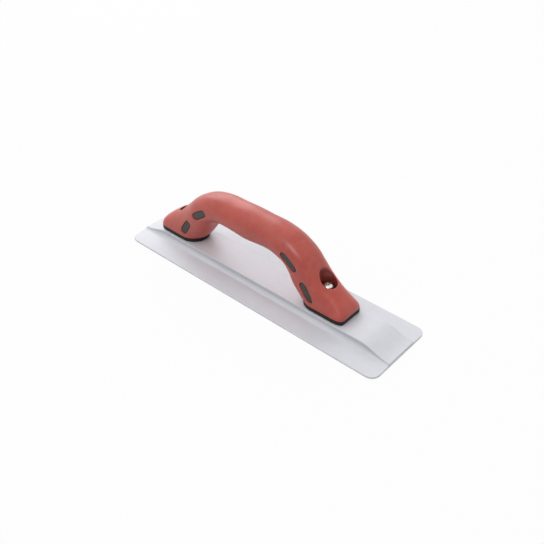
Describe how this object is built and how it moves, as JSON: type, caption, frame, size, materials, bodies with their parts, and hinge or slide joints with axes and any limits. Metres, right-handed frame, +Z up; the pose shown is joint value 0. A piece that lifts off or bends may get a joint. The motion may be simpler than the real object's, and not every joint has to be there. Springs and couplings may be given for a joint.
{
  "type": "magnesium hand float",
  "caption": "Flat magnesium float blade with a raised spine and a soft-skinned bridge handle screwed on, for smoothing fresh concrete by hand.",
  "frame": {"origin": "centre of the blade's working face, on the surface that the float stands on", "axes": "+X along the blade towards its front end, where more of the blade shows in front of the handle; +Z up out of the working face; +Y completes a right-handed frame and is the far side in the picture"},
  "size_m": [0.3048, 0.0794, 0.0763],
  "materials": {
    "magnesium": "satin, as cast and lightly brushed",
    "black_plastic": "moulded, matt",
    "red_rubber": "soft-touch satin",
    "plated_steel": "bright zinc plate"
  },
  "bodies": {
    "root": {"blade": "magnesium", "handle_core": "black_plastic", "handle_grip": "red_rubber", "front_screw": "plated_steel", "rear_screw": "plated_steel", "front_lock_washer": "plated_steel", "rear_lock_washer": "plated_steel", "front_washer": "plated_steel", "rear_washer": "plated_steel"}
  },
  "joints": []
}
